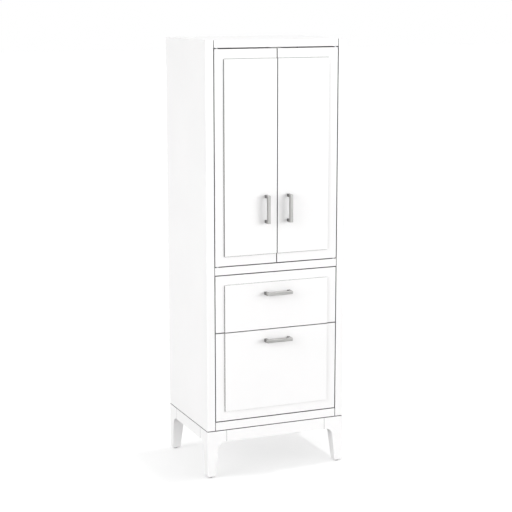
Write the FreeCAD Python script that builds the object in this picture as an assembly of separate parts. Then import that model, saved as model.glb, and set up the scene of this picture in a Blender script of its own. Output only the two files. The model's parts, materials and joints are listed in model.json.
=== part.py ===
"""Free-standing armoire: two inset doors over two drawers, on a low frame with four curved, tapered legs.

Millimetres. +Z is up, the front faces -Y, and +X is to the right of a person who looks at the front.
The origin is on the floor, below the middle of the armoire's outer box, pulls included.
"""
import FreeCAD, Part
import os
from FreeCAD import Vector

# ---- driving dimensions: the whole armoire ----
WIDTH = 610.0
DEPTH = 457.0              # face frame to back, without the pulls
HEIGHT = 1778.0
PANEL = 18.0               # case panels, doors and drawer fronts
FRAME_THICKNESS = 22.0     # face frame and aprons
STILE_WIDTH = 34.0
TOP_RAIL = 29.5
MIDDLE_RAIL = 32.0
BOTTOM_RAIL = 34.5
GAP = 3.5                  # around every door and drawer front
DOOR_TOP_GAP = 4.5         # room to lift a door off its lower pin
LOWER_FRONT = 367.0        # height of the lower drawer front
UPPER_FRONT = 233.0        # height of the upper drawer front
EASED = 1.0                # softened edges of the painted pieces
QUIRK = 2.0                # groove where a rail meets a stile
APRON_QUIRK = 1.2          # groove where an apron meets a leg
QUIRK_DEPTH = 4.0

# ---- raised fields ----
FIELD_RISE = 6.0
FIELD_BORDER = 39.5

# ---- leg frame ----
BASE_TOP = 198.0
REVEAL = 3.0               # shadow gap between the leg frame and the case
APRON_HEIGHT = 48.0
LEG_BLOCK = 83.5           # square block at the top of a leg
LEG_CURVE = 33.0           # radius of the curve under the block
NECK = 45.5                # width of a leg below its curve
FOOT = 34.0                # width of a leg at the floor
FOOT_ROUND = 8.0
LEG_ARRIS = 2.5
GLIDE_HEIGHT = 3.0
GLIDE_RADIUS = 8.5
BOLT_RADIUS = 3.0
BOLT_HEAD_RADIUS = 6.5
BOLT_HEAD_HEIGHT = 4.0
BOLT_REACH = 30.0          # into the leg block

# ---- pulls: square bar bent at both ends ----
PULL_CENTRES = 101.6
PULL_RETURN = 12.0         # thickness of each end
PULL_BAR_WIDTH = 13.0
PULL_BAR_THICKNESS = 12.0
PULL_REACH = 33.0          # from the raised field to the front of the bar
PULL_ARRIS = 1.5
DOOR_PULL_INSET = 49.0     # from the armoire's middle
DOOR_PULL_HEIGHT = 1105.0
UPPER_PULL_DROP = 83.5     # below the top edge of the upper front
LOWER_PULL_DROP = 43.0     # below the top edge of the lower front
SCREW_RADIUS = 2.0
SCREW_CLEARANCE = 2.5
SCREW_BITE = 14.0          # into a pull's end
SCREW_HEAD_RADIUS = 4.0
SCREW_HEAD_HEIGHT = 2.4

# ---- pivot pins of the doors ----
PIVOT_INSET = 11.0         # from the door's outer edge
PIVOT_SETBACK = 6.0        # from the door's front face
PIN_RADIUS = 2.5
PIN_FIT = 0.05             # radial clearance in the bush
PIN_IN_RAIL = 12.0
PIN_IN_DOOR = 11.0
WASHER_RADIUS = 5.0
WASHER_CLEARANCE = 0.3     # between a washer and the door
BUSH_RADIUS = 4.0
BUSH_LENGTH = 12.0
BUSH_HOLE = 13.0           # depth of a bush's hole in the door

# ---- magnetic catch ----
CATCH_WIDTH = 52.0
CATCH_DEPTH = 20.0
CATCH_HEIGHT = 13.0
CATCH_CLEARANCE = 0.5
STRIKE_THICKNESS = 1.5
STRIKE_WIDTH = 20.0
STRIKE_HEIGHT = 9.5
STRIKE_DROP = 1.0          # below the door's top edge

# ---- inside the case ----
BACK_THICKNESS = 6.0
BACK_INSET = 2.0           # back panel in front of the back edges of the sides
BACK_RAIL_HEIGHT = 80.0
WALL_HOLE_RADIUS = 2.5
WALL_HOLE_SPACING = 406.4  # wall studs stand 16 inches apart
SHELF_THICKNESS = 16.0
SHELF_SETBACK = 8.0        # behind the face frame
SHELF_PLAY = 1.0
SHELF_LEVELS = (2, 7)      # which hole of a row carries each shelf's pins
PIN_HOLE_RADIUS = 2.5
PIN_HOLE_DEPTH = 10.0
PIN_HOLE_PITCH = 32.0
PIN_HOLE_COUNT = 10
PIN_HOLE_START = 240.0     # first hole, above the deck
PIN_HOLE_MARGIN = 60.0     # from the shelf's front and back edges
SHELF_PIN_RADIUS = 3.5
SHELF_PIN_REACH = 9.0

# ---- drawer boxes and their slides ----
BOX_BOARD = 12.0
BOX_BOTTOM = 6.0
BOX_GROOVE = 5.0
BOX_LIFT = 14.0            # box above the bottom edge of its front
BOTTOM_LIFT = 10.0         # bottom board above the lower edge of the sides
BOX_LENGTH = 400.0
BOX_BACK_DROP = 12.0       # the back board is lower than the sides
FINGER_COUNT = 9           # joint between a side and the back board
UPPER_BOX_HEIGHT = 170.0
LOWER_BOX_HEIGHT = 290.0
SLIDE_SPACE = 12.7
SLIDE_LENGTH = 400.0
SLIDE_LIFT = 60.0          # slide's middle above the lower edge of a box
SLIDE_SHEET = 1.2
SLIDE_SETBACK = 3.0        # behind the back of a drawer front
OUTER_HALF = 22.5          # half heights of the three members
MIDDLE_HALF = 18.5
INNER_HALF = 14.0
OUTER_LIP = 8.0            # widths of their lips
MIDDLE_LIP = 5.2
INNER_LIP = 5.1
MIDDLE_WEB = 5.2           # from the case's mounting plane
SPACER_HEIGHT = 60.0

# ---- derived ----
HALF = WIDTH / 2
FRONT = (FIELD_RISE + PULL_REACH - DEPTH) / 2
BACK = FRONT + DEPTH
FIELD_FACE = FRONT - FIELD_RISE
CASE_BOTTOM = BASE_TOP + REVEAL
OPENING = HALF - STILE_WIDTH
INSIDE = HALF - PANEL
FRAME_BACK = FRONT + FRAME_THICKNESS
LOWER_BOTTOM = CASE_BOTTOM + BOTTOM_RAIL + GAP
LOWER_TOP = LOWER_BOTTOM + LOWER_FRONT
UPPER_BOTTOM = LOWER_TOP + GAP
UPPER_TOP = UPPER_BOTTOM + UPPER_FRONT
DECK_TOP = UPPER_TOP + GAP + MIDDLE_RAIL
DOOR_BOTTOM = DECK_TOP + GAP
DOOR_TOP = HEIGHT - TOP_RAIL - DOOR_TOP_GAP
DOOR_EDGE = OPENING - GAP
PIVOT_X = DOOR_EDGE - PIVOT_INSET
PIVOT_Y = FRONT + PIVOT_SETBACK
CATCH_FRONT = FRONT + PANEL + STRIKE_THICKNESS + CATCH_CLEARANCE
BACK_OUTER = BACK - BACK_INSET
BACK_FACE = BACK_OUTER - BACK_THICKNESS
BOX_HALF = OPENING - SLIDE_SPACE
BOX_FRONT = FRONT + PANEL
BOX_BACK = BOX_FRONT + BOX_LENGTH
SLIDE_FRONT = BOX_FRONT + SLIDE_SETBACK
SHELF_FRONT = FRAME_BACK + SHELF_SETBACK
SHELF_BACK = BACK - PANEL - SHELF_PLAY
X_AXIS = Vector(1, 0, 0)
Y_AXIS = Vector(0, 1, 0)
Z_AXIS = Vector(0, 0, 1)
ORIGIN = Vector(0, 0, 0)


def block(x, y, z):
    """A box between two limits along each axis."""
    size = (x[1] - x[0], y[1] - y[0], z[1] - z[0])
    return Part.makeBox(*size, Vector(x[0], y[0], z[0]))


def rod(radius, length, start, direction):
    return Part.makeCylinder(radius, length, start, direction)


def mirrored(shape, normal=X_AXIS):
    """The shape on the other side of the armoire's middle plane."""
    return shape.mirror(ORIGIN, normal)


def edges_at(shape, axis, level):
    """Edges that lie wholly in the plane where one coordinate equals a level."""
    found = []
    for edge in shape.Edges:
        if all(abs(vertex.Point[axis] - level) < 1e-6 for vertex in edge.Vertexes):
            found.append(edge)
    return found


def eased(shape, axis, level, radius=EASED):
    """The shape with the edges of one flat face rounded."""
    return shape.makeFillet(radius, edges_at(shape, axis, level))


def corner_edges(shape, x, y):
    """Upright edges at one place in plan."""
    found = edges_at(shape, 0, x)
    return [edge for edge in found if all(abs(vertex.Point[1] - y) < 1e-6 for vertex in edge.Vertexes)]


def both_sides(shape):
    return [shape, mirrored(shape)]


# ---- case ----

def side_panel():
    """Left side panel, with two rows of blind shelf-pin holes on its inner face."""
    panel = block((-HALF, -INSIDE), (FRAME_BACK, BACK), (CASE_BOTTOM, HEIGHT))
    holes = []
    for y in shelf_pin_rows():
        for index in range(PIN_HOLE_COUNT):
            start = Vector(-INSIDE, y, pin_hole_height(index))
            holes.append(rod(PIN_HOLE_RADIUS, PIN_HOLE_DEPTH, start, -X_AXIS))
    return panel.cut(holes)


def shelf_pin_rows():
    return (SHELF_FRONT + PIN_HOLE_MARGIN, SHELF_BACK - PIN_HOLE_MARGIN)


def pin_hole_height(index):
    return DECK_TOP + PIN_HOLE_START + PIN_HOLE_PITCH * index


def inner_panel(z, back):
    """A horizontal panel between the side panels, behind the face frame."""
    return block((-INSIDE, INSIDE), (FRAME_BACK, back), z)


def bottom_panel():
    panel = inner_panel((BASE_TOP, BASE_TOP + PANEL), BACK_FACE)
    return panel.cut(leg_bolts())


def back_rail():
    """Rail across the top of the back, with the two holes for wall screws."""
    rail = block((-INSIDE, INSIDE), (BACK - PANEL, BACK), (HEIGHT - PANEL - BACK_RAIL_HEIGHT, HEIGHT - PANEL))
    for x in (-WALL_HOLE_SPACING / 2, WALL_HOLE_SPACING / 2):
        start = Vector(x, BACK - PANEL, HEIGHT - PANEL - BACK_RAIL_HEIGHT / 2)
        rail = rail.cut(rod(WALL_HOLE_RADIUS, PANEL, start, Y_AXIS))
    return rail


def stile():
    """Left upright of the face frame, from the case's bottom edge to its top."""
    board = block((-HALF, -OPENING), (FRONT, FRAME_BACK), (CASE_BOTTOM, HEIGHT))
    return eased(board, 1, FRONT)


def rail(z):
    """A cross rail of the face frame, with a groove where each end meets a stile."""
    groove = block((-OPENING, -OPENING + QUIRK), (FRONT, FRONT + QUIRK_DEPTH), z)
    board = block((-OPENING, OPENING), (FRONT, FRAME_BACK), z).cut(both_sides(groove))
    return eased(board, 1, FRONT)


def pivot_rail(z, face):
    """A cross rail with a hole for a pivot pin at each end, sunk from one of its faces."""
    board = rail(z)
    start = z[0] if face < 0 else z[1]
    holes = []
    for x in (-PIVOT_X, PIVOT_X):
        holes.append(rod(PIN_RADIUS, PIN_IN_RAIL, Vector(x, PIVOT_Y, start), Z_AXIS * -face))
    return board.cut(holes)


def shelf(level):
    bottom = pin_hole_height(level) + SHELF_PIN_RADIUS
    across = INSIDE - SHELF_PLAY
    board = block((-across, across), (SHELF_FRONT, SHELF_BACK), (bottom, bottom + SHELF_THICKNESS))
    return eased(board, 1, SHELF_FRONT)


def shelf_pins():
    """Four pins under each shelf: a thin end in the side panel, a thicker one under the shelf."""
    pins = []
    for level in SHELF_LEVELS:
        for y in shelf_pin_rows():
            start = Vector(-INSIDE, y, pin_hole_height(level))
            pin = rod(PIN_HOLE_RADIUS, PIN_HOLE_DEPTH, start, -X_AXIS)
            pin = pin.fuse(rod(SHELF_PIN_RADIUS, SHELF_PIN_REACH, start, X_AXIS))
            pins += both_sides(pin)
    return Part.makeCompound(pins)


# ---- leg frame ----

def leg_outline():
    """A leg seen square on, from its outer edge at 0: foot, taper, curve and block, as (across, height)."""
    neck_height = BASE_TOP - APRON_HEIGHT - LEG_CURVE
    corner = 0.5 ** 0.5 * LEG_CURVE
    foot = (FOOT, GLIDE_HEIGHT)
    neck = (NECK, neck_height)
    middle = (NECK + LEG_CURVE - corner, neck_height + corner)
    end = (NECK + LEG_CURVE, BASE_TOP - APRON_HEIGHT)
    rest = [(LEG_BLOCK, BASE_TOP - APRON_HEIGHT), (LEG_BLOCK, BASE_TOP), (0.0, BASE_TOP), (0.0, GLIDE_HEIGHT)]
    return foot, neck, middle, end, rest


def leg_prism(place, sweep):
    """The leg's outline laid out by place(across, height) and swept along a vector."""
    foot, neck, middle, end, rest = leg_outline()
    edges = [Part.LineSegment(place(*foot), place(*neck)).toShape()]
    edges.append(Part.Arc(place(*neck), place(*middle), place(*end)).toShape())
    last = end
    for point in rest + [foot]:
        edges.append(Part.LineSegment(place(*last), place(*point)).toShape())
        last = point
    return Part.Face(Part.Wire(edges)).extrude(sweep)


def leg():
    """Front left leg: the same outline on its front and on its side."""
    front = leg_prism(lambda across, height: Vector(-HALF + across, FRONT, height), Y_AXIS * LEG_BLOCK)
    side = leg_prism(lambda across, height: Vector(-HALF, FRONT + across, height), X_AXIS * LEG_BLOCK)
    post = front.common(side).removeSplitter()
    post = post.makeFillet(LEG_ARRIS, corner_edges(post, -HALF, FRONT))
    post = eased(post, 2, GLIDE_HEIGHT, FOOT_ROUND)
    return post.cut(leg_bolt())


def to_corners(shape):
    """The shape at the front left, front right, back left and back right corner of the leg frame."""
    middle = Vector(0, (FRONT + BACK) / 2, 0)
    rear = shape.mirror(middle, Y_AXIS)
    return {
        "front_left": shape,
        "front_right": mirrored(shape),
        "back_left": rear,
        "back_right": mirrored(rear),
    }


def leg_bolt():
    """Bolt that holds a leg's block to the case: its head is sunk in the bottom panel."""
    middle = Vector(-HALF + LEG_BLOCK / 2, FRONT + LEG_BLOCK / 2, BASE_TOP - BOLT_REACH)
    shank = rod(BOLT_RADIUS, BOLT_REACH + PANEL - BOLT_HEAD_HEIGHT, middle, Z_AXIS)
    top = middle + Z_AXIS * (BOLT_REACH + PANEL - BOLT_HEAD_HEIGHT)
    return shank.fuse(rod(BOLT_HEAD_RADIUS, BOLT_HEAD_HEIGHT, top, Z_AXIS))


def leg_bolts():
    return list(to_corners(leg_bolt()).values())


def foot_glides():
    """Round plastic glides under the four legs."""
    middle = FOOT / 2
    glide = rod(GLIDE_RADIUS, GLIDE_HEIGHT, Vector(-HALF + middle, FRONT + middle, 0), Z_AXIS)
    return Part.makeCompound(list(to_corners(glide).values()))


def front_apron():
    z = (BASE_TOP - APRON_HEIGHT, BASE_TOP)
    end = HALF - LEG_BLOCK
    groove = block((-end, -end + APRON_QUIRK), (FRONT, FRONT + QUIRK_DEPTH), z)
    return block((-end, end), (FRONT, FRAME_BACK), z).cut(both_sides(groove))


def side_apron():
    z = (BASE_TOP - APRON_HEIGHT, BASE_TOP)
    near = FRONT + LEG_BLOCK
    far = BACK - LEG_BLOCK
    depth = (-HALF, -HALF + QUIRK_DEPTH)
    grooves = [block(depth, (near, near + APRON_QUIRK), z), block(depth, (far - APRON_QUIRK, far), z)]
    return block((-HALF, -HALF + FRAME_THICKNESS), (near, far), z).cut(grooves)


# ---- pulls ----

def bar_between(along, half, reach):
    """A bar of the pull's width that stands out of the plane y = 0."""
    corner = along * half + along.cross(Y_AXIS) * (PULL_BAR_WIDTH / 2)
    low = Vector(-abs(corner.x), -reach, -abs(corner.z))
    return Part.makeBox(2 * abs(corner.x), reach, 2 * abs(corner.z), low)


def pull(along, middle):
    """A square bar bent at both ends, standing on a face at middle, its length along one axis."""
    half = (PULL_CENTRES + PULL_RETURN) / 2
    outer = bar_between(along, half, PULL_REACH)
    inner = bar_between(along, half - PULL_RETURN, PULL_REACH - PULL_BAR_THICKNESS)
    loop = outer.cut(inner)
    loop.translate(middle)
    ends = [edge for edge in loop.Edges if edge.BoundBox.YMin < middle.y - 1.0]
    loop = loop.makeFillet(PULL_ARRIS, ends)
    return loop.cut([rod(SCREW_RADIUS, SCREW_BITE, foot, -Y_AXIS) for foot in pull_feet(along, middle)])


def pull_feet(along, middle):
    return [middle + along * (PULL_CENTRES / 2 * side) for side in (-1, 1)]


def pull_screws(along, middle):
    """Two screws from behind the front into the pull's ends."""
    screws = []
    for foot in pull_feet(along, middle):
        back = Vector(foot.x, FRONT + PANEL, foot.z)
        shank = rod(SCREW_RADIUS, SCREW_BITE + FIELD_RISE + PANEL, back, -Y_AXIS)
        screws.append(shank.fuse(rod(SCREW_HEAD_RADIUS, SCREW_HEAD_HEIGHT, back, Y_AXIS)))
    return Part.makeCompound(screws)


def screw_holes(along, middle):
    depth = FIELD_RISE + PANEL
    return [rod(SCREW_CLEARANCE, depth, foot, Y_AXIS) for foot in pull_feet(along, middle)]


# ---- doors ----

DOOR_PULL_AT = Vector(-DOOR_PULL_INSET, FIELD_FACE, DOOR_PULL_HEIGHT)


def pivot_points():
    """Where the left door's two pins leave their rails, which way each points, and the gap that it crosses."""
    low = Vector(-PIVOT_X, PIVOT_Y, DECK_TOP)
    high = Vector(-PIVOT_X, PIVOT_Y, HEIGHT - TOP_RAIL)
    return [(low, Z_AXIS, GAP), (high, -Z_AXIS, DOOR_TOP_GAP)]


def pivot_pins():
    """Each pin is pressed into a rail, turns in the door's bush, and carries a washer in the gap."""
    pins = []
    for point, inward, gap in pivot_points():
        length = PIN_IN_RAIL + gap + PIN_IN_DOOR
        pin = rod(PIN_RADIUS, length, point - inward * PIN_IN_RAIL, inward)
        pins += both_sides(pin.fuse(rod(WASHER_RADIUS, gap - WASHER_CLEARANCE, point, inward)))
    return Part.makeCompound(pins)


def door_bushes():
    bushes = []
    for point, inward, gap in pivot_points():
        mouth = point + inward * gap
        bush = rod(BUSH_RADIUS, BUSH_LENGTH, mouth, inward)
        bushes.append(bush.cut(rod(PIN_RADIUS + PIN_FIT, BUSH_LENGTH, mouth, inward)))
    return Part.makeCompound(bushes)


def door_slab():
    """Left door, with the bushes' holes in its top and bottom edges."""
    slab = block((-DOOR_EDGE, -GAP / 2), (FRONT, FRONT + PANEL), (DOOR_BOTTOM, DOOR_TOP))
    slab = eased(slab, 1, FRONT)
    holes = screw_holes(Z_AXIS, DOOR_PULL_AT)
    for point, inward, gap in pivot_points():
        holes.append(rod(BUSH_RADIUS, BUSH_HOLE, point + inward * gap, inward))
    return slab.cut(holes)


def door_field():
    """Raised field of the left door: it runs out to the meeting edge."""
    across = (-DOOR_EDGE + FIELD_BORDER, -GAP / 2)
    field = block(across, (FIELD_FACE, FRONT), (DOOR_BOTTOM + FIELD_BORDER, DOOR_TOP - FIELD_BORDER))
    return eased(field, 1, FIELD_FACE).cut(screw_holes(Z_AXIS, DOOR_PULL_AT))


def door_strike():
    """Steel plate on the door's back, in front of the catch's magnet."""
    middle = -CATCH_WIDTH / 4 - GAP
    x = (middle - STRIKE_WIDTH / 2, middle + STRIKE_WIDTH / 2)
    top = DOOR_TOP - STRIKE_DROP
    return block(x, (FRONT + PANEL, FRONT + PANEL + STRIKE_THICKNESS), (top - STRIKE_HEIGHT, top))


def door_catch():
    """Double magnetic catch behind the meeting edges, hung from the top panel."""
    across = (-CATCH_WIDTH / 2, CATCH_WIDTH / 2)
    low = HEIGHT - TOP_RAIL - CATCH_HEIGHT
    body = block(across, (CATCH_FRONT, CATCH_FRONT + CATCH_DEPTH), (low, HEIGHT - TOP_RAIL))
    neck = block(across, (FRAME_BACK, CATCH_FRONT + CATCH_DEPTH), (HEIGHT - TOP_RAIL, HEIGHT - PANEL))
    return body.fuse(neck).removeSplitter()


# ---- drawers ----

def drawer_front(z, pull_middle):
    slab = eased(block((-DOOR_EDGE, DOOR_EDGE), (FRONT, FRONT + PANEL), z), 1, FRONT)
    return slab.cut(screw_holes(X_AXIS, pull_middle))


def drawer_field(z, pull_middle):
    across = DOOR_EDGE - FIELD_BORDER
    field = block((-across, across), (FIELD_FACE, FRONT), z)
    return eased(field, 1, FIELD_FACE).cut(screw_holes(X_AXIS, pull_middle))


def box_bottom(low):
    """Bottom board of a drawer box, in grooves on all four sides."""
    across = BOX_HALF - BOX_BOARD + BOX_GROOVE
    y = (BOX_FRONT - BOX_GROOVE, BOX_BACK - BOX_BOARD + BOX_GROOVE)
    return block((-across, across), y, (low + BOTTOM_LIFT, low + BOTTOM_LIFT + BOX_BOTTOM))


def fingers(low, height, first):
    """Every second finger of the joint between the left side and the back board, from the bottom up."""
    x = (-BOX_HALF, -BOX_HALF + BOX_BOARD)
    pitch = (height - BOX_BACK_DROP) / FINGER_COUNT
    found = []
    for index in range(first, FINGER_COUNT, 2):
        z = (low + pitch * index, low + pitch * (index + 1))
        found.append(block(x, (BOX_BACK - BOX_BOARD, BOX_BACK), z))
    return found


def box_sides(low, height):
    side = block((-BOX_HALF, -BOX_HALF + BOX_BOARD), (BOX_FRONT, BOX_BACK), (low, low + height))
    side = eased(side, 2, low + height).cut(fingers(low, height, 1) + [box_bottom(low)])
    return Part.makeCompound(both_sides(side))


def box_back(low, height):
    board = block((-BOX_HALF, BOX_HALF), (BOX_BACK - BOX_BOARD, BOX_BACK), (low, low + height - BOX_BACK_DROP))
    gaps = []
    for finger in fingers(low, height, 0):
        gaps += both_sides(finger)
    return board.cut(gaps + [box_bottom(low)])


def slide_channel(web, lip, half_height, centre):
    """A folded channel on the left side: a web, with a lip at its top and bottom, each given across x."""
    y = (SLIDE_FRONT, SLIDE_FRONT + SLIDE_LENGTH)
    top = centre + half_height
    low = centre - half_height
    channel = block(web, y, (low, top))
    channel = channel.fuse(block(lip, y, (top - SLIDE_SHEET, top)))
    channel = channel.fuse(block(lip, y, (low, low + SLIDE_SHEET)))
    return channel.removeSplitter()


def slide_outer(centre):
    """Member fixed to the case, lips towards the drawer."""
    wall = -OPENING
    channel = slide_channel((wall, wall + SLIDE_SHEET), (wall, wall + OUTER_LIP), OUTER_HALF, centre)
    return both_sides(channel)


def slide_middle(centre):
    """Member that runs between the other two, at half the drawer's travel."""
    web = -OPENING + MIDDLE_WEB
    channel = slide_channel((web, web + SLIDE_SHEET), (web, web + MIDDLE_LIP), MIDDLE_HALF, centre)
    return Part.makeCompound(both_sides(channel))


def slide_inner(centre):
    """Member fixed to the drawer box, lips towards the case."""
    face = -BOX_HALF
    channel = slide_channel((face - SLIDE_SHEET, face), (face - INNER_LIP, face), INNER_HALF, centre)
    return Part.makeCompound(both_sides(channel))


def slide_spacers(centres):
    """Boards that bring the slides out to the edge of the stiles."""
    spacers = []
    for centre in centres:
        z = (centre - SPACER_HEIGHT / 2, centre + SPACER_HEIGHT / 2)
        spacers += both_sides(block((-INSIDE, -OPENING), (FRAME_BACK, FRAME_BACK + SLIDE_LENGTH), z))
    return Part.makeCompound(spacers)


# ---- the nodes ----

def case_nodes():
    back_top = HEIGHT - PANEL - BACK_RAIL_HEIGHT
    return {
        "side_panel_left": side_panel(),
        "side_panel_right": mirrored(side_panel()),
        "top_panel": inner_panel((HEIGHT - PANEL, HEIGHT), BACK),
        "deck_panel": inner_panel((DECK_TOP - PANEL, DECK_TOP), BACK_FACE),
        "bottom_panel": bottom_panel(),
        "back_panel": block((-INSIDE, INSIDE), (BACK_FACE, BACK_OUTER), (BASE_TOP, back_top)),
        "back_rail": back_rail(),
        "stile_left": stile(),
        "stile_right": mirrored(stile()),
        "top_rail": pivot_rail((HEIGHT - TOP_RAIL, HEIGHT), -1),
        "middle_rail": pivot_rail((DECK_TOP - MIDDLE_RAIL, DECK_TOP), 1),
        "bottom_rail": rail((CASE_BOTTOM, CASE_BOTTOM + BOTTOM_RAIL)),
        "shelf_lower": shelf(SHELF_LEVELS[0]),
        "shelf_upper": shelf(SHELF_LEVELS[1]),
        "shelf_pins": shelf_pins(),
        "pivot_pins": pivot_pins(),
        "door_catch": door_catch(),
    }


def leg_frame_nodes():
    nodes = {"leg_" + corner: shape for corner, shape in to_corners(leg()).items()}
    middle = Vector(0, (FRONT + BACK) / 2, 0)
    nodes["leg_bolts"] = Part.makeCompound(leg_bolts())
    nodes["foot_glides"] = foot_glides()
    nodes["apron_front"] = front_apron()
    nodes["apron_back"] = front_apron().mirror(middle, Y_AXIS)
    nodes["apron_left"] = side_apron()
    nodes["apron_right"] = mirrored(side_apron())
    return nodes


def door_nodes():
    pieces = {
        "slab": door_slab(),
        "field": door_field(),
        "pull": pull(Z_AXIS, DOOR_PULL_AT),
        "pull_screws": pull_screws(Z_AXIS, DOOR_PULL_AT),
        "bushes": door_bushes(),
        "strike": door_strike(),
    }
    nodes = {}
    for piece, shape in pieces.items():
        nodes["door_left_" + piece] = shape
        nodes["door_right_" + piece] = mirrored(shape)
    return nodes


def drawer_nodes(name, front, field, box_height, pull_drop):
    low = front[0] + BOX_LIFT
    centre = low + SLIDE_LIFT
    pull_middle = Vector(0, FIELD_FACE, front[1] - pull_drop)
    return {
        name + "_front": drawer_front(front, pull_middle).cut(box_bottom(low)),
        name + "_field": drawer_field(field, pull_middle),
        name + "_sides": box_sides(low, box_height),
        name + "_back": box_back(low, box_height),
        name + "_bottom": box_bottom(low),
        name + "_pull": pull(X_AXIS, pull_middle),
        name + "_pull_screws": pull_screws(X_AXIS, pull_middle),
        name + "_slide_inner": slide_inner(centre),
        name + "_slide_middle": slide_middle(centre),
    }


def case_slide_nodes():
    centres = [LOWER_BOTTOM + BOX_LIFT + SLIDE_LIFT, UPPER_BOTTOM + BOX_LIFT + SLIDE_LIFT]
    outers = []
    for centre in centres:
        outers += slide_outer(centre)
    return {"slide_spacers": slide_spacers(centres), "slide_outer": Part.makeCompound(outers)}


def main():
    upper = (UPPER_BOTTOM, UPPER_TOP)
    lower = (LOWER_BOTTOM, LOWER_TOP)
    upper_field = (upper[0], upper[1] - FIELD_BORDER)
    lower_field = (lower[0] + FIELD_BORDER, lower[1])
    nodes = case_nodes()
    nodes.update(leg_frame_nodes())
    nodes.update(door_nodes())
    nodes.update(case_slide_nodes())
    nodes.update(drawer_nodes("upper_drawer", upper, upper_field, UPPER_BOX_HEIGHT, UPPER_PULL_DROP))
    nodes.update(drawer_nodes("lower_drawer", lower, lower_field, LOWER_BOX_HEIGHT, LOWER_PULL_DROP))
    os.makedirs("parts", exist_ok=True)
    for name, shape in sorted(nodes.items()):
        shape.exportStep("parts/" + name + ".step")
        print(name, "valid" if shape.isValid() else "INVALID", len(shape.Solids), round(shape.Volume))
    print(len(nodes), "nodes")


main()
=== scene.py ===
"""Looks of the armoire: materials, small hardware details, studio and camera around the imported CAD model."""
import bpy
import bmesh
import json
import math
from mathutils import Matrix, Vector


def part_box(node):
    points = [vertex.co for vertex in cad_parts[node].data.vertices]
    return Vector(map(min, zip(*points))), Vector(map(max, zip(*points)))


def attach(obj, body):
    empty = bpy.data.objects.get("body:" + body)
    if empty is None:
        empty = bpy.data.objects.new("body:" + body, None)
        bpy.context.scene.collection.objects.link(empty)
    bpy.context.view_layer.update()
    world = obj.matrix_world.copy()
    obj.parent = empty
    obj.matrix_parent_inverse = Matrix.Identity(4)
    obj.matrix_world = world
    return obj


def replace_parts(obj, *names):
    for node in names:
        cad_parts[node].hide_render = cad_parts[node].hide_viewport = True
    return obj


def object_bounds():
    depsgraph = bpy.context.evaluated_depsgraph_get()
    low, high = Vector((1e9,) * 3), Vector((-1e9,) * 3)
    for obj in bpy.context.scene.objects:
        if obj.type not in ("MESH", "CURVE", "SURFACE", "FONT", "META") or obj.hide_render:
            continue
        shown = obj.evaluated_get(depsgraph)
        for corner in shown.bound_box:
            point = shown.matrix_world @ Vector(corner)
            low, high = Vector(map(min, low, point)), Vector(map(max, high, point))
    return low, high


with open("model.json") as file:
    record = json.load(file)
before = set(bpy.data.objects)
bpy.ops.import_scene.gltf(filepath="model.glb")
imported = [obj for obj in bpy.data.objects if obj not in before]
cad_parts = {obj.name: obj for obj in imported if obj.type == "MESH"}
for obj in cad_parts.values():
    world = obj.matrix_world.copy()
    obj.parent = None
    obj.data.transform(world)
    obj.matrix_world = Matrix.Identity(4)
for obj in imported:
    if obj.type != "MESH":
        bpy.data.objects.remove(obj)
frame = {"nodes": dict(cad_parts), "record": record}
cad_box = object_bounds()

NODES = frame["nodes"]
SLOT_OF = {part["node"]: part["material_slot"] for part in frame["record"]["subparts"]}


# ---- node helpers ----

def new_material(name):
    """A material with only a principled shader, and its tree."""
    material = bpy.data.materials.new(name)
    material.use_nodes = True
    tree = material.node_tree
    shader = next(node for node in tree.nodes if node.type == "BSDF_PRINCIPLED")
    return material, tree, shader


NOISE_LOW = 0.3                 # a noise's values lie mostly between these two
NOISE_HIGH = 0.7


def add(tree, kind, **properties):
    """A new node, with some of its properties set."""
    node = tree.nodes.new(kind)
    for key, value in properties.items():
        setattr(node, key, value)
    return node


def object_coordinates(tree, scale=(1.0, 1.0, 1.0)):
    """Object coordinates in metres, times a scale along each axis."""
    coordinates = add(tree, "ShaderNodeTexCoord")
    mapping = add(tree, "ShaderNodeMapping")
    mapping.inputs["Scale"].default_value = scale
    tree.links.new(coordinates.outputs["Object"], mapping.inputs["Vector"])
    return mapping.outputs["Vector"]


def noise(tree, vector, scale, detail=2.0, roughness=0.5, distortion=0.0):
    """Cloudy values round 0.5. Scale is in waves per metre."""
    node = add(tree, "ShaderNodeTexNoise")
    node.inputs["Scale"].default_value = scale
    node.inputs["Detail"].default_value = detail
    node.inputs["Roughness"].default_value = roughness
    node.inputs["Distortion"].default_value = distortion
    tree.links.new(vector, node.inputs["Vector"])
    return node.outputs["Fac"]


def ramp(tree, value, stops):
    """A colour ramp through (position, colour) stops."""
    node = add(tree, "ShaderNodeValToRGB")
    elements = node.color_ramp.elements
    while len(elements) < len(stops):
        elements.new(0.5)
    for element, (position, colour) in zip(elements, stops):
        element.position = position
        element.color = (*colour, 1.0)
    tree.links.new(value, node.inputs["Fac"])
    return node.outputs["Color"]


def remap(tree, value, low, high):
    """A noise value taken to a range."""
    node = add(tree, "ShaderNodeMapRange")
    node.inputs["From Min"].default_value = NOISE_LOW
    node.inputs["From Max"].default_value = NOISE_HIGH
    node.inputs["To Min"].default_value = low
    node.inputs["To Max"].default_value = high
    tree.links.new(value, node.inputs["Value"])
    return node.outputs["Result"]


def grey(value):
    """An opaque grey."""
    return (value, value, value, 1.0)


def greys(*stops):
    """Colour ramp stops from (position, value) pairs."""
    return [(position, (value, value, value)) for position, value in stops]


def blend_by(tree, share, first, second):
    """A mix of two colours, each a value or a socket, by a 0 to 1 share."""
    mix = add(tree, "ShaderNodeMix", data_type="RGBA")
    tree.links.new(share, mix.inputs["Factor"])
    for socket, colour in (("A", first), ("B", second)):
        if isinstance(colour, tuple):
            mix.inputs[socket].default_value = colour
        else:
            tree.links.new(colour, mix.inputs[socket])
    return mix.outputs["Result"]


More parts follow.
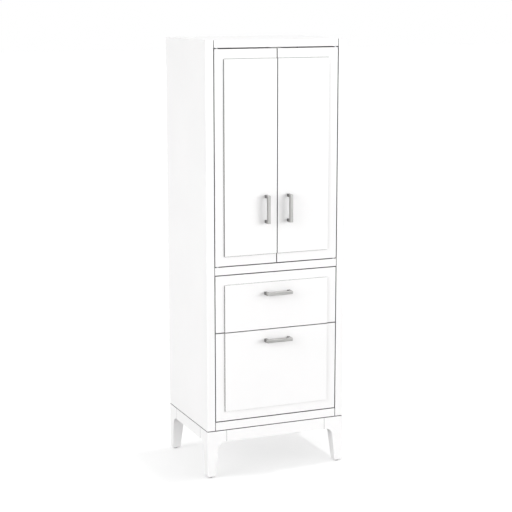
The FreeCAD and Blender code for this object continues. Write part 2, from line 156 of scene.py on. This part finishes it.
def multiplied(tree, colour, by, share=1.0):
    """A colour socket times another one, by a 0 to 1 share."""
    mix = add(tree, "ShaderNodeMix", data_type="RGBA", blend_type="MULTIPLY")
    mix.inputs["Factor"].default_value = share
    tree.links.new(colour, mix.inputs["A"])
    tree.links.new(by, mix.inputs["B"])
    return mix.outputs["Result"]


def bump(tree, shader, height, strength, distance, under=None):
    """Gives the shader a bumpy surface, on top of another bump if there is one."""
    node = add(tree, "ShaderNodeBump")
    node.inputs["Strength"].default_value = strength
    node.inputs["Distance"].default_value = distance
    tree.links.new(height, node.inputs["Height"])
    if under is not None:
        tree.links.new(under, node.inputs["Normal"])
    tree.links.new(node.outputs["Normal"], shader.inputs["Normal"])
    return node.outputs["Normal"]


# ---- materials ----

BRUSH_STRETCH = 0.02            # noise along the brush lines, the grain and the rolling marks
GRAIN_STRETCH = 0.07
ROLLING_STRETCH = 0.05
PORE_SHARE = 0.55
OCCLUSION_SAMPLES = 8
# Painted shade in the lacquer's gaps and joints: its reach, and tones for gap walls, front faces and drawer
# fronts
JOINT_SHADE_REACH = 0.006
GAP_SHADE_TONES = greys((0.5, 0.0), (0.75, 0.1), (0.95, 1.0))     # inside a gap
JOINT_SHADE_TONES = greys((0.35, 0.0), (0.6, 0.15), (0.85, 1.0))
FAINT_SHADE_TONES = greys((0.35, 0.0), (0.52, 0.15), (0.72, 1.0))
# Painted shade on and beside the raised fields' steps, none on their front and top faces
STEP_SHADE_REACH = 0.012
STEP_SHADE_TONES = greys((0.3, 0.1), (0.75, 0.45), (0.95, 1.0))
# Painted shade on the pulls' posts and sides near the doors
METAL_SHADE_REACH = 0.035
METAL_SHADE_TONES = greys((0.35, 0.25), (0.75, 0.4), (0.98, 1.0))
UNSHADED = greys((0.0, 1.0), (1.0, 1.0))
# Face directions, in a piece's own axes, whose painted shade takes other tones
FRONT = (0.0, -1.0, 0.0)
FRONT_AND_TOP = (0.0, -1.0, 1.0)

# A light and a dark tone of each finish, and for timber also a streak.
LACQUER = ((0.865, 0.86, 0.86), (0.85, 0.845, 0.845))
HARDBOARD = ((0.75, 0.75, 0.74), (0.7, 0.7, 0.685))
NICKEL = ((0.6, 0.595, 0.585), (0.455, 0.45, 0.44))
ZINC = ((0.72, 0.73, 0.74), (0.5, 0.52, 0.54))
NYLON = ((0.3, 0.3, 0.3), (0.25, 0.25, 0.25))
CATCH_PLASTIC = ((0.74, 0.74, 0.72), (0.68, 0.68, 0.66))
FERRITE = ((0.07, 0.07, 0.075), (0.04, 0.04, 0.045))
BIRCH = ((0.72, 0.56, 0.37), (0.6, 0.43, 0.26), (0.66, 0.49, 0.31))
BIRCH_PLY = ((0.76, 0.61, 0.42), (0.66, 0.5, 0.32), (0.7, 0.55, 0.36))
PORE_TONES = greys((0.25, 0.72), (0.5, 1.0))


def painted_crevice_shade(tree, colour, reach, tones, faced=None):
    """The colour, toned down where another surface is within reach: painted shade in joints, gaps and corners.

    Faced is a direction in the piece's own axes, and the tones for surfaces turned that way, so the painted
    shade is fainter or stronger by which way a face turns.
    """
    # painted shade: an occlusion node darkens the colour near other surfaces
    shut = add(tree, "ShaderNodeAmbientOcclusion", samples=OCCLUSION_SAMPLES)
    shut.inputs["Distance"].default_value = reach
    toned = ramp(tree, shut.outputs["AO"], tones)
    if faced is not None:
        direction, faced_tones = faced
        turned = add(tree, "ShaderNodeVectorMath", operation="DOT_PRODUCT")
        tree.links.new(add(tree, "ShaderNodeTexCoord").outputs["Normal"], turned.inputs[0])
        turned.inputs[1].default_value = direction
        toned = blend_by(tree, turned.outputs["Value"], toned, ramp(tree, shut.outputs["AO"], faced_tones))
    return multiplied(tree, colour, toned)


def paint(name, light, dark, reach, tones, faced=None, roughness=(0.3, 0.4), peel=0.05):
    """Sprayed satin lacquer: faint clouding, fine orange peel, uneven gloss, and painted shade in joints, gaps
    and by steps.
    """
    material, tree, shader = new_material(name)
    vector = object_coordinates(tree)
    clouds = noise(tree, vector, scale=3.5, detail=3.0)
    colour = ramp(tree, clouds, [(0.35, dark), (0.65, light)])
    # painted shade where other surfaces are near
    tree.links.new(painted_crevice_shade(tree, colour, reach, tones, faced), shader.inputs["Base Color"])
    gloss = noise(tree, vector, scale=26.0, detail=4.0)
    tree.links.new(remap(tree, gloss, *roughness), shader.inputs["Roughness"])
    waves = noise(tree, vector, scale=150.0, detail=1.0)
    grain = noise(tree, vector, scale=900.0, detail=2.0)
    first = bump(tree, shader, waves, strength=peel, distance=0.0006)
    bump(tree, shader, grain, strength=peel, distance=0.0002, under=first)
    return material


def brushed_metal(name, light, dark, long_axis, roughness=(0.26, 0.4)):
    """Plated metal with fine brush lines along one axis, and painted shade where other surfaces are near."""
    material, tree, shader = new_material(name)
    scale = [1.0, 1.0, 1.0]
    scale[long_axis] = BRUSH_STRETCH
    vector = object_coordinates(tree, scale)
    lines = noise(tree, vector, scale=2200.0, detail=3.0, roughness=0.6)
    broad = noise(tree, vector, scale=350.0, detail=2.0)
    metal = ramp(tree, lines, [(NOISE_LOW, dark), (NOISE_HIGH, light)])
    # painted shade on the metal near other surfaces
    tree.links.new(painted_crevice_shade(tree, metal, METAL_SHADE_REACH, METAL_SHADE_TONES), shader.inputs["Base Color"])
    tree.links.new(remap(tree, broad, *roughness), shader.inputs["Roughness"])
    shader.inputs["Metallic"].default_value = 1.0
    bump(tree, shader, lines, strength=0.12, distance=0.0002)
    return material


def zinc(name):
    """Bright zinc plate: soft cloudy crystals and rolling marks."""
    material, tree, shader = new_material(name)
    vector = object_coordinates(tree)
    cloud = noise(tree, vector, scale=90.0, detail=4.0, roughness=0.6, distortion=0.6)
    light, dark = ZINC
    tree.links.new(ramp(tree, cloud, [(0.35, dark), (0.65, light)]), shader.inputs["Base Color"])
    tree.links.new(remap(tree, cloud, low=0.24, high=0.42), shader.inputs["Roughness"])
    shader.inputs["Metallic"].default_value = 1.0
    rolled = noise(tree, object_coordinates(tree, (1.0, ROLLING_STRETCH, 1.0)), scale=900.0, detail=2.0)
    bump(tree, shader, rolled, strength=0.08, distance=0.0002)
    return material


def timber(name, grain_axis, pale, tan, streak):
    """Clear-lacquered birch: long streaks, fine pores and a soft figure along one axis."""
    material, tree, shader = new_material(name)
    scale = [1.0, 1.0, 1.0]
    scale[grain_axis] = GRAIN_STRETCH
    vector = object_coordinates(tree, scale)
    figure = noise(tree, vector, scale=16.0, detail=5.0, roughness=0.55, distortion=1.2)
    pores = noise(tree, vector, scale=420.0, detail=3.0, roughness=0.7)
    base = ramp(tree, figure, [(0.3, tan), (0.5, pale), (0.72, streak)])
    lines = ramp(tree, pores, PORE_TONES)
    tree.links.new(multiplied(tree, base, lines, PORE_SHARE), shader.inputs["Base Color"])
    tree.links.new(remap(tree, pores, low=0.38, high=0.52), shader.inputs["Roughness"])
    bump(tree, shader, pores, strength=0.25, distance=0.0002)
    return material


def moulded_plastic(name, light, dark):
    """Moulded plastic with a fine spark-eroded grain."""
    material, tree, shader = new_material(name)
    vector = object_coordinates(tree)
    cloud = noise(tree, vector, scale=60.0, detail=3.0)
    grain = noise(tree, vector, scale=2400.0, detail=2.0)
    tree.links.new(ramp(tree, cloud, [(0.35, dark), (0.65, light)]), shader.inputs["Base Color"])
    tree.links.new(remap(tree, grain, low=0.42, high=0.58), shader.inputs["Roughness"])
    bump(tree, shader, grain, strength=0.15, distance=0.0001)
    return material


def hardboard(name):
    """White-faced hardboard: a duller paint over a faint screen pattern."""
    material, tree, shader = new_material(name)
    vector = object_coordinates(tree)
    cloud = noise(tree, vector, scale=5.0, detail=5.0)
    light, dark = HARDBOARD
    tree.links.new(ramp(tree, cloud, [(0.35, dark), (0.65, light)]), shader.inputs["Base Color"])
    fibres = noise(tree, vector, scale=700.0, detail=3.0, roughness=0.6)
    tree.links.new(remap(tree, fibres, low=0.5, high=0.66), shader.inputs["Roughness"])
    bump(tree, shader, fibres, strength=0.2, distance=0.0002)
    return material


def dress(name, material):
    """Gives a CAD node one material."""
    for slot in NODES[name].material_slots:
        slot.material = material


def dress_all():
    """Dresses each CAD node by its material slot, with its own grain where it needs one, and the white lacquer
    in copies that differ only in painted shade.
    """
    # One white lacquer in three copies with their own painted shade: dark in gaps and joints, fainter on the
    # drawer fronts, only at the raised fields' steps
    joints = (JOINT_SHADE_REACH, GAP_SHADE_TONES)
    steps = (STEP_SHADE_REACH, STEP_SHADE_TONES)
    white = paint("white_lacquer", *LACQUER, *joints, faced=(FRONT, JOINT_SHADE_TONES))
    fronts = paint("white_lacquer_drawer_fronts", *LACQUER, *joints, faced=(FRONT, FAINT_SHADE_TONES))
    raised = paint("white_lacquer_raised", *LACQUER, *steps, faced=(FRONT_AND_TOP, UNSHADED))
    by_slot = {
        "white_paint": white,
        "white_board": hardboard("white_hardboard"),
        "birch": timber("birch_along", 1, *BIRCH),
        "birch_ply": timber("birch_ply_face", 0, *BIRCH_PLY),
        "zinc_steel": zinc("zinc_plate"),
        "steel_hardware": zinc("plated_steel"),
        "grey_nylon": moulded_plastic("grey_nylon", *NYLON),
        "catch_plastic": moulded_plastic("white_plastic", *CATCH_PLASTIC),
    }
    upright = brushed_metal("nickel_upright", *NICKEL, 2)
    level = brushed_metal("nickel_level", *NICKEL, 0)
    across = timber("birch_across", 0, *BIRCH)
    for name, slot in SLOT_OF.items():
        if slot == "brushed_nickel":
            dress(name, level if name.startswith(("upper_", "lower_")) else upright)
        elif name.endswith("_drawer_back"):
            dress(name, across)
        elif name.endswith("_field"):
            dress(name, raised)
        elif name.endswith("_drawer_front"):
            dress(name, fronts)
        else:
            dress(name, by_slot[slot])


# ---- small pieces in mesh code ----

SEGMENTS = 32
BEVEL_STEPS = 2
SHARP_ANGLE = math.radians(35.0)
SHEET = 0.0012                  # thickness of the slides' steel
INNER_LIP = 0.0051              # depth of the inner member's channel
SLIDE_SCREW_RADIUS = 0.0034
SLIDE_SCREW_HEIGHT = 0.0016
SLIDE_SCREW_PLACES = (0.1, 0.5, 0.9)
RECESS_LOBE = 0.62              # how deep the waists of a driver recess are
PULL_HEAD_RADIUS = 0.004
PULL_HEAD_HEIGHT = 0.0024
SHANK_RADIUS = 0.002
THREAD_DEPTH = 0.0003
THREAD_PITCH = 0.0014
BALL_RADIUS = 0.00125
BALL_COUNT = 14
BALL_RINGS = 10
RACEWAY_INSET = 0.0028          # from the middle member's web to the middle of its balls
CAGE_THICKNESS = 0.0006
CAGE_WIDTH = 0.0034
CAGE_PLACES = (0.02, 0.98)      # ends of a cage, as shares of a run of balls
NAIL_RADIUS = 0.0022
NAIL_HEIGHT = 0.0008
NAIL_MARGIN = 0.009
NAIL_PITCH = 0.1
CATCH_SCREW_PLACE = 0.006       # from the armoire's middle
CATCH_SCREW_RADIUS = 0.003
STRIKE_SCREW_RADIUS = 0.0028
MAGNET_MARGIN = 0.001           # from the ends of a strike plate
MAGNET_DEPTH = 0.002
MAGNET_BETWEEN = (0.004, 0.008)  # heights above the catch's foot
POLE_HEIGHTS = (0.0026, 0.0082)
POLE_THICKNESS = 0.0012
CATCH_ARRIS = 0.0002
FLUSH = 0.0001                  # how far a flush head or magnet stands proud
UP = Vector((0.0, 0.0, 1.0))
BACKWARD = (0, 1, 0)


def turned(shape, foot, along, profile):
    """Adds a turned form. Its profile is (radius, height) or (radius, height, lobe) points, foot first."""
    turn = UP.rotation_difference(Vector(along))
    rings = []
    for radius, height, *lobe in profile:
        depth = lobe[0] if lobe else 0.0
        ring = []
        for index in range(SEGMENTS):
            angle = 2 * math.pi * index / SEGMENTS
            reach = radius * (1.0 - depth * math.sin(2 * angle) ** 2)
            point = Vector((reach * math.cos(angle), reach * math.sin(angle), height))
            ring.append(shape.verts.new(Vector(foot) + turn @ point))
        rings.append(ring)
    for low, high in zip(rings, rings[1:]):
        for index in range(SEGMENTS):
            after = (index + 1) % SEGMENTS
            shape.faces.new((low[index], low[after], high[after], high[index]))
    shape.faces.new(list(reversed(rings[0])))
    shape.faces.new(rings[-1])


def pan_head(radius, height):
    """Rounded head with a four-lobed driver recess."""
    return [
        (radius, 0.0),
        (radius, 0.45 * height),
        (0.93 * radius, 0.75 * height),
        (0.7 * radius, 0.95 * height),
        (0.56 * radius, height),
        (0.52 * radius, height, RECESS_LOBE),
        (0.44 * radius, 0.4 * height, RECESS_LOBE),
        (0.1 * radius, 0.3 * height),
    ]


def flat_head(radius):
    """Flush head with a four-lobed driver recess."""
    return [
        (radius, 0.0),
        (radius, FLUSH),
        (0.6 * radius, FLUSH),
        (0.56 * radius, FLUSH, RECESS_LOBE),
        (0.5 * radius, -5 * FLUSH, RECESS_LOBE),
        (0.1 * radius, -6 * FLUSH),
    ]


def nail_dome():
    """Low domed head of a nail."""
    return [
        (NAIL_RADIUS, 0.0),
        (NAIL_RADIUS, 0.4 * NAIL_HEIGHT),
        (0.75 * NAIL_RADIUS, 0.85 * NAIL_HEIGHT),
        (0.3 * NAIL_RADIUS, NAIL_HEIGHT),
    ]


def threaded(length):
    """A shank from its tip to a head: a short point, then a ring for each half turn of thread."""
    steps = int(length / (THREAD_PITCH / 2))
    profile = [(0.3 * SHANK_RADIUS, 0.0)]
    for index in range(1, steps):
        radius = SHANK_RADIUS - THREAD_DEPTH * (index % 2)
        profile.append((radius, length * index / steps))
    return profile


def ball(radius):
    """A ball's profile, from its lowest to its highest ring."""
    angles = [math.pi * (index + 0.5) / BALL_RINGS for index in range(BALL_RINGS)]
    return [(radius * math.sin(angle), radius - radius * math.cos(angle)) for angle in angles]


def slab(shape, low, high, bevel):
    """Adds a small block with softened edges."""
    size = Vector(high) - Vector(low)
    place = Matrix.Translation((Vector(high) + Vector(low)) / 2) @ Matrix.Diagonal((*size, 1.0))
    made = bmesh.ops.create_cube(shape, size=1.0, matrix=place)
    edges = list({edge for vertex in made["verts"] for edge in vertex.link_edges})
    bmesh.ops.bevel(shape, geom=edges, offset=bevel, segments=BEVEL_STEPS, affect="EDGES", profile=0.5)


def piece(name, body, material, shape):
    """Turns a filled-in shape into a smooth-shaded object that rides on a body."""
    bmesh.ops.recalc_face_normals(shape, faces=shape.faces)
    mesh = bpy.data.meshes.new(name)
    shape.to_mesh(mesh)
    shape.free()
    mesh.materials.append(material)
    mesh.shade_smooth()
    mesh.set_sharp_from_angle(angle=SHARP_ANGLE)
    made = bpy.data.objects.new(name, mesh)
    bpy.context.scene.collection.objects.link(made)
    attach(made, body)
    return made


def pull_screws(owner, body, material):
    """Two threaded pan-head screws in place of the plain ones behind a pull."""
    node = owner + "_pull_screws"
    low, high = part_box(node)
    middle = (low + high) / 2
    size = high - low
    along = Vector((1.0, 0.0, 0.0)) if size.x > size.z else UP
    spread = max(size.x, size.z) / 2 - PULL_HEAD_RADIUS
    head = size.y - PULL_HEAD_HEIGHT
    shape = bmesh.new()
    for side in (-spread, spread):
        place = Vector((middle.x, low.y, middle.z)) + along * side
        turned(shape, place, BACKWARD, threaded(head))
        turned(shape, place + Vector((0, head, 0)), BACKWARD, pan_head(PULL_HEAD_RADIUS, PULL_HEAD_HEIGHT))
    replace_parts(piece(owner + "_threaded_screws", body, material, shape), node)


def slide_screws(level, material):
    """Screws that hold the outer members to the case and the inner ones to the drawer box."""
    low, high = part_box(level + "_drawer_slide_inner")
    outer_low, outer_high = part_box("slide_outer")
    head = pan_head(SLIDE_SCREW_RADIUS, SLIDE_SCREW_HEIGHT)
    on_case, on_box = bmesh.new(), bmesh.new()
    for place in SLIDE_SCREW_PLACES:
        y = low.y + (high.y - low.y) * place
        z = (low.z + high.z) / 2
        for side, inner_x, outer_x in ((-1, low.x, outer_low.x), (1, high.x, outer_high.x)):
            turned(on_box, (inner_x - side * (INNER_LIP - SHEET), y, z), (side, 0, 0), head)
            turned(on_case, (outer_x - side * SHEET, y, z), (-side, 0, 0), head)
    piece(level + "_slide_case_screws", "case", material, on_case)
    piece(level + "_slide_box_screws", level + "_drawer", material, on_box)


def slide_balls(level, steel):
    """Balls in their cages: at the back of a middle member towards the case, at its front to the drawer."""
    low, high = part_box(level + "_drawer_slide_middle")
    half = (high.y - low.y) / 2
    shape = bmesh.new()
    runs = (
        (low.z, half, -1),
        (high.z, half, 1),
        (low.z + SHEET, 0.0, 1),
        (high.z - SHEET, 0.0, -1),
    )
    for side, web in ((-1, low.x), (1, high.x)):
        x = web - side * RACEWAY_INSET
        for z, start, inward in runs:
            centre = z + inward * (BALL_RADIUS + FLUSH)
            for index in range(BALL_COUNT):
                y = low.y + start + half * (index + 0.5) / BALL_COUNT
                turned(shape, (x, y, centre - BALL_RADIUS), UP, ball(BALL_RADIUS))
            first, last = (low.y + start + half * place for place in CAGE_PLACES)
            near = Vector((x - CAGE_WIDTH / 2, first, centre - CAGE_THICKNESS / 2))
            far = Vector((x + CAGE_WIDTH / 2, last, centre + CAGE_THICKNESS / 2))
            slab(shape, near, far, CAGE_THICKNESS / 4)
    piece(level + "_slide_balls", level + "_slide_middle", steel, shape)


def nail_heads(material):
    """Nails round the edge of the back panel, and across it where the deck and the bottom panel are."""
    low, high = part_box("back_panel")
    deck_low, deck_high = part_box("deck_panel")
    columns = (low.x + NAIL_MARGIN, high.x - NAIL_MARGIN)
    rows = (low.z + NAIL_MARGIN, (deck_low.z + deck_high.z) / 2, high.z - NAIL_MARGIN)
    shape = bmesh.new()
    along = int((high.z - low.z - 2 * NAIL_MARGIN) / NAIL_PITCH)
    for x in columns:
        for index in range(1, along):
            z = rows[0] + (rows[2] - rows[0]) * index / along
            turned(shape, (x, high.y, z), BACKWARD, nail_dome())
    across = int((columns[1] - columns[0]) / NAIL_PITCH)
    for z in rows:
        for index in range(across + 1):
            x = columns[0] + (columns[1] - columns[0]) * index / across
            turned(shape, (x, high.y, z), BACKWARD, nail_dome())
    piece("back_panel_nails", "case", material, shape)


def catch_details(steel, ferrite):
    """Magnets between pole plates in the catch, and the screws of the catch and of the strike plates."""
    low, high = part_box("door_catch")
    screws, magnets, poles = bmesh.new(), bmesh.new(), bmesh.new()
    for side, door in ((-1, "door_left"), (1, "door_right")):
        strike_low, strike_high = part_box(door + "_strike")
        middle = (strike_low + strike_high) / 2
        half = (strike_high.x - strike_low.x) / 2 - MAGNET_MARGIN
        bottom, top = (low.z + height for height in MAGNET_BETWEEN)
        near = (middle.x - half, low.y - FLUSH, bottom)
        far = (middle.x + half, low.y + MAGNET_DEPTH, top)
        slab(magnets, near, far, CATCH_ARRIS)
        for height in POLE_HEIGHTS:
            near = (middle.x - half, low.y - 2 * FLUSH, low.z + height)
            far = (middle.x + half, low.y + MAGNET_DEPTH, low.z + height + POLE_THICKNESS)
            slab(poles, near, far, CATCH_ARRIS)
        foot = (side * CATCH_SCREW_PLACE, (low.y + high.y) / 2, low.z)
        turned(screws, foot, (0, 0, -1), flat_head(CATCH_SCREW_RADIUS))
        head = bmesh.new()
        turned(head, (middle.x, strike_high.y, middle.z), BACKWARD, flat_head(STRIKE_SCREW_RADIUS))
        piece(door + "_strike_screw", door, steel, head)
    piece("catch_screws", "case", steel, screws)
    piece("catch_magnets", "case", ferrite, magnets)
    piece("catch_pole_plates", "case", steel, poles)


def small_pieces():
    """Adds every small piece, with its materials."""
    plate = zinc("zinc_hardware")
    steel = zinc("steel_balls")
    ferrite = moulded_plastic("ferrite", *FERRITE)
    for owner in ("door_left", "door_right", "upper_drawer", "lower_drawer"):
        pull_screws(owner, owner, plate)
    for level in ("upper", "lower"):
        slide_screws(level, plate)
        slide_balls(level, steel)
    nail_heads(plate)
    catch_details(steel, ferrite)


# ---- studio ----

FLOOR_HALF = 40.0
FLOOR_TILES = 8
FLOOR_ROUGHNESS = 0.9
FLOOR_CLOUD = 0.01
FLOOR_GLOW = 0.54
FLOOR_TONE = 0.5
FLOOR_GLOW_ON_OTHERS = 0.1
FLOOR_TONE_ON_OTHERS = 0.45
SKY_STRENGTH = 1.0
WALLS_ON_MATT = 1.5
CEILING_ON_MATT = 0.25
TOP_STRENGTH = 0.85
TOP_SPREAD = math.radians(4.0)
TOP_FROM = (0.12, 0.0, 1.0)
KEY_STRENGTH = 2.05
KEY_SPREAD = math.radians(36.0)
KEY_FROM = (0.7, -0.72, 0.02)
FILL_STRENGTH = 1.3
FILL_SPREAD = math.radians(40.0)
FILL_FROM = (-1.0, -0.3, 0.38)
FLAG_TONES = greys((0.0, 0.15), (0.1, 1.0))
CAMERA_AZIMUTH = math.radians(-22.86)
CAMERA_ELEVATION = math.radians(10.53)
CAMERA_DISTANCE = 6.0
CAMERA_LENS = 100.5
AIM_RIGHT = -0.0026
AIM_UP = -0.0169


def studio_floor():
    """A wide, pale, back-lit floor."""
    mesh = bpy.data.meshes.new("studio_floor")
    shape = bmesh.new()
    bmesh.ops.create_grid(shape, x_segments=FLOOR_TILES, y_segments=FLOOR_TILES, size=FLOOR_HALF)
    shape.to_mesh(mesh)
    shape.free()
    floor = bpy.data.objects.new("studio_floor", mesh)
    bpy.context.scene.collection.objects.link(floor)
    material, tree, shader = new_material("studio_floor")
    vector = object_coordinates(tree)
    cloud = noise(tree, vector, scale=1.5)
    dark, light = (grey(FLOOR_TONE + change)[:3] for change in (-FLOOR_CLOUD, FLOOR_CLOUD))
    seen = ramp(tree, cloud, [(NOISE_LOW, dark), (NOISE_HIGH, light)])
    shader.inputs["Roughness"].default_value = FLOOR_ROUGHNESS
    shader.inputs["Specular IOR Level"].default_value = 0.0
    path = add(tree, "ShaderNodeLightPath")
    direct = path.outputs["Is Camera Ray"]
    tone = blend_by(tree, direct, grey(FLOOR_TONE_ON_OTHERS), seen)
    glow = blend_by(tree, direct, grey(FLOOR_GLOW_ON_OTHERS), grey(FLOOR_GLOW))
    tree.links.new(tone, shader.inputs["Base Color"])
    tree.links.new(glow, shader.inputs["Emission Color"])
    shader.inputs["Emission Strength"].default_value = 1.0
    mesh.materials.append(material)


def distant_light(name, toward, strength, spread):
    """A broad, soft, even light from one direction."""
    data = bpy.data.lights.new(name, "SUN")
    data.energy = strength
    data.angle = spread
    light = bpy.data.objects.new(name, data)
    light.rotation_euler = Vector(toward).to_track_quat("Z", "Y").to_euler()
    bpy.context.scene.collection.objects.link(light)


def studio_sky():
    """White surroundings: bright walls and a dim ceiling for matt surfaces, a flag on the left for metal."""
    world = bpy.data.worlds.new("studio")
    world.use_nodes = True
    tree = world.node_tree
    background = tree.nodes["Background"]
    background.inputs["Strength"].default_value = SKY_STRENGTH
    coordinates = add(tree, "ShaderNodeTexCoord")
    split = add(tree, "ShaderNodeSeparateXYZ")
    tree.links.new(coordinates.outputs["Generated"], split.inputs["Vector"])
    path = add(tree, "ShaderNodeLightPath")
    room = blend_by(tree, split.outputs["Z"], grey(WALLS_ON_MATT), grey(CEILING_ON_MATT))
    matt = blend_by(tree, path.outputs["Is Diffuse Ray"], grey(1.0), room)
    flags = ramp(tree, split.outputs["X"], FLAG_TONES)
    tree.links.new(blend_by(tree, path.outputs["Is Glossy Ray"], matt, flags), background.inputs["Color"])
    bpy.context.scene.world = world


def studio_light():
    """Light from above for the floor's shadow, from the front right for the pulls', and from the left."""
    distant_light("top_light", TOP_FROM, TOP_STRENGTH, TOP_SPREAD)
    distant_light("key_light", KEY_FROM, KEY_STRENGTH, KEY_SPREAD)
    distant_light("fill_light", FILL_FROM, FILL_STRENGTH, FILL_SPREAD)
    studio_sky()
    bpy.context.scene.view_settings.view_transform = "Standard"


def camera(low, high):
    """Looks at the middle of the armoire from its front left, a little above."""
    middle = (low + high) / 2
    away = Vector((
        math.sin(CAMERA_AZIMUTH) * math.cos(CAMERA_ELEVATION),
        -math.cos(CAMERA_AZIMUTH) * math.cos(CAMERA_ELEVATION),
        math.sin(CAMERA_ELEVATION),
    ))
    turn = (-away).to_track_quat("-Z", "Y")
    data = bpy.data.cameras.new("camera")
    data.lens = CAMERA_LENS
    view = bpy.data.objects.new("camera", data)
    view.rotation_mode = "QUATERNION"
    view.rotation_quaternion = turn
    view.location = middle + away * CAMERA_DISTANCE + turn @ Vector((AIM_RIGHT, AIM_UP, 0.0))
    bpy.context.scene.collection.objects.link(view)
    bpy.context.scene.camera = view


dress_all()
small_pieces()
studio_floor()
studio_light()
camera(*cad_box)
